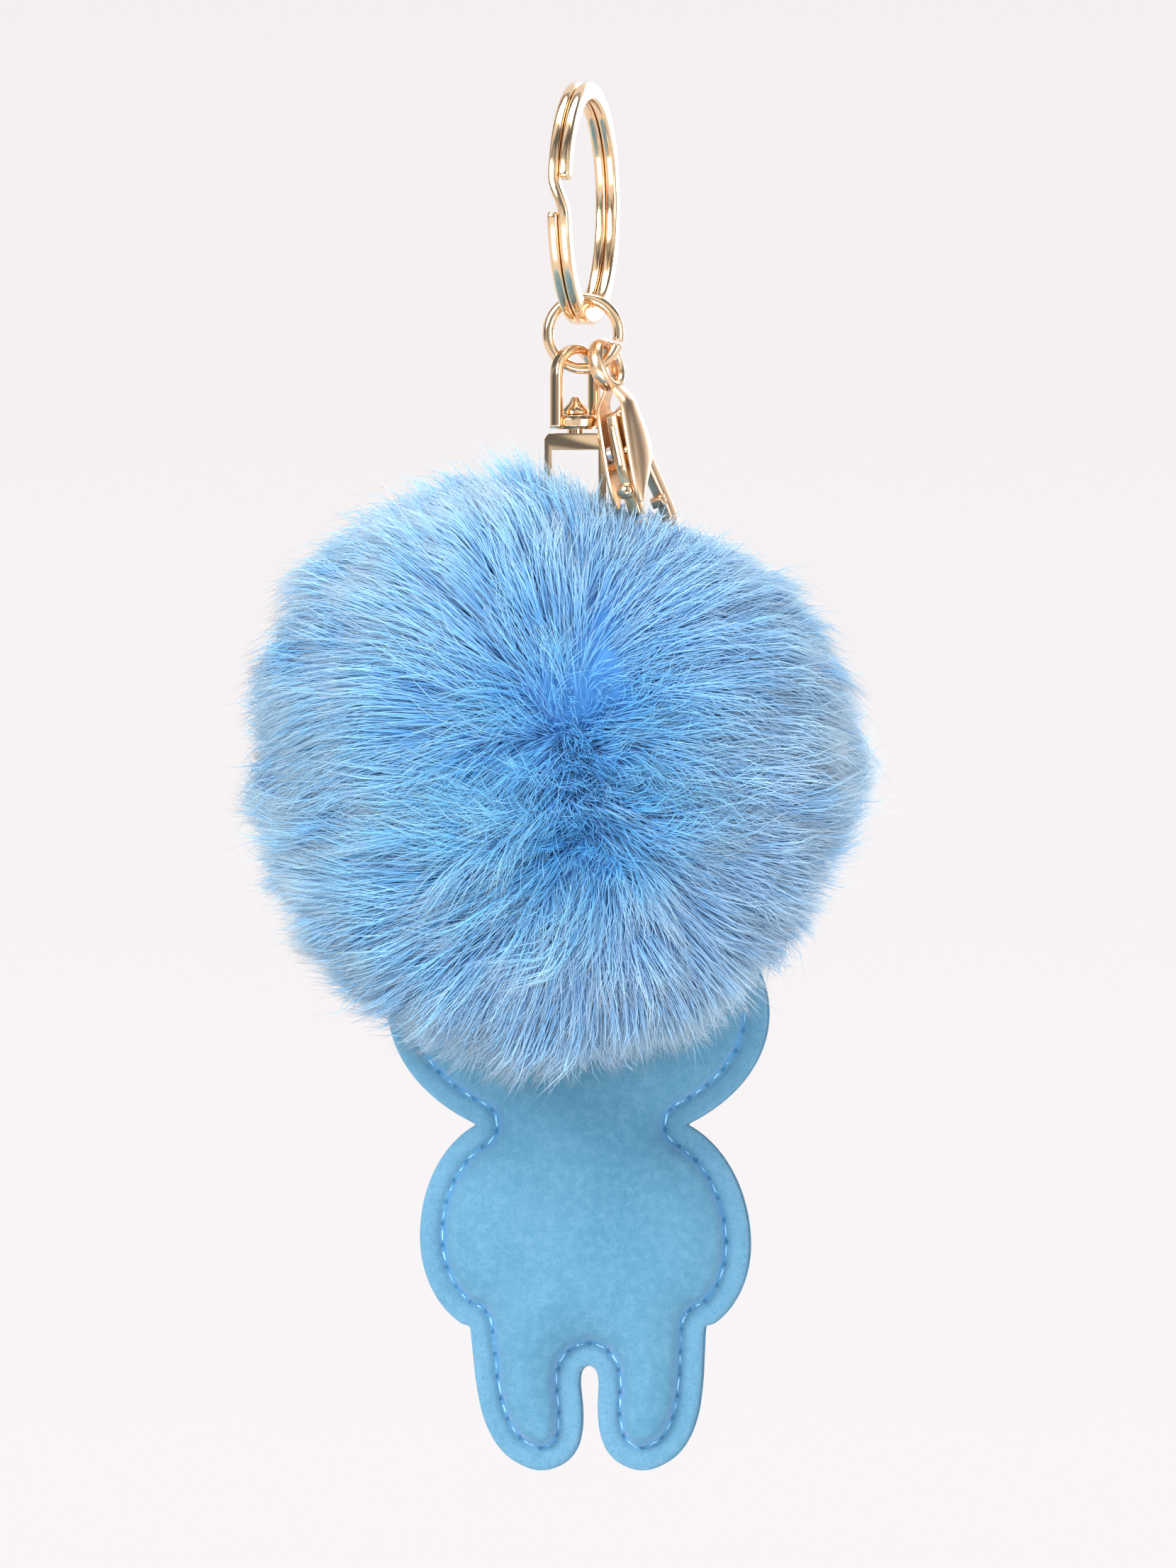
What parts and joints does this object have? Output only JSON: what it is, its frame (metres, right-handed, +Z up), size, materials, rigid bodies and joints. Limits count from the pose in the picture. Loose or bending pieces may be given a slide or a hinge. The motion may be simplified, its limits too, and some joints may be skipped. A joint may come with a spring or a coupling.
{
  "type": "plush keychain",
  "caption": "Plush keychain with a sky-blue faux-fur ball and a flat faux-suede doll, hung from a pale gold split ring, swivel and lobster clasp.",
  "frame": {"origin": "highest point of the inside of the split ring, where a peg, hook or finger carries the keychain", "axes": "+Z up with the keychain hanging still, +X to the right seen from the front, +Y away from the viewer"},
  "size_m": [0.074, 0.074, 0.1754],
  "materials": {
    "pale_gold": "polished",
    "spring_steel": "satin",
    "white_strap": "matte",
    "stuffing": "matte",
    "blue_fur": "matte",
    "blue_suede": "matte",
    "seam_thread": "matte"
  },
  "bodies": {
    "ring": {"split_ring": "pale_gold"},
    "jump": {"jump_ring": "pale_gold"},
    "bail": {"swivel_bail": "pale_gold"},
    "swivel": {"swivel_rivet": "pale_gold", "strap_frame": "pale_gold"},
    "ball": {"hanging_strap": "white_strap", "strap_anchor": "white_strap", "gather_cord": "white_strap", "ball_stuffing": "stuffing", "fur_backing": "blue_fur", "fur_pile": "blue_fur", "tack_thread": "seam_thread"},
    "doll": {"doll_front_panel": "blue_suede", "doll_back_panel": "blue_suede", "doll_stuffing": "stuffing", "seam_thread_front": "seam_thread", "seam_thread_back": "seam_thread"},
    "clasp": {"clasp_body": "pale_gold", "clasp_pin": "pale_gold", "clasp_spring": "spring_steel"},
    "gate": {"clasp_gate": "pale_gold"}
  },
  "joints": [
    {"name": "jump_ring_swing", "type": "hinge", "parent": "ring", "child": "jump", "pos_m": [0, 0, -0.02489], "axis": [1, 0, 0], "range_deg": [-45, 45]},
    {"name": "bail_swing", "type": "hinge", "parent": "jump", "child": "bail", "pos_m": [-0.001, 0, -0.03367], "axis": [1, 0, 0], "range_deg": [0, 20]},
    {"name": "swivel_spin", "type": "hinge", "parent": "bail", "child": "swivel", "pos_m": [-0.001, 0, -0.042], "axis": [0, 0, 1], "continuous": true},
    {"name": "ball_swing", "type": "hinge", "parent": "swivel", "child": "ball", "pos_m": [-0.001, 0, -0.05122], "axis": [1, 0, 0], "range_deg": [-12, 12], "deforming": ["fur_pile"]},
    {"name": "doll_flop", "type": "hinge", "parent": "ball", "child": "doll", "pos_m": [0.0004, 0.01266, -0.10542], "axis": [1, 0, 0], "range_deg": [-8, 15], "stiffness_Nm_per_rad": 0.03},
    {"name": "clasp_swing", "type": "hinge", "parent": "jump", "child": "clasp", "pos_m": [0.0029, 0, -0.03271], "axis": [1, 0, 0], "range_deg": [-25, 2]},
    {"name": "gate_open", "type": "hinge", "parent": "clasp", "child": "gate", "pos_m": [0.00473, -0.00353, -0.04432], "axis": [0.8619, -0.4226, 0.2801], "range_deg": [0, 25], "stiffness_Nm_per_rad": 0.01, "springref_deg": -20.05, "deforming": ["clasp_spring"]}
  ]
}
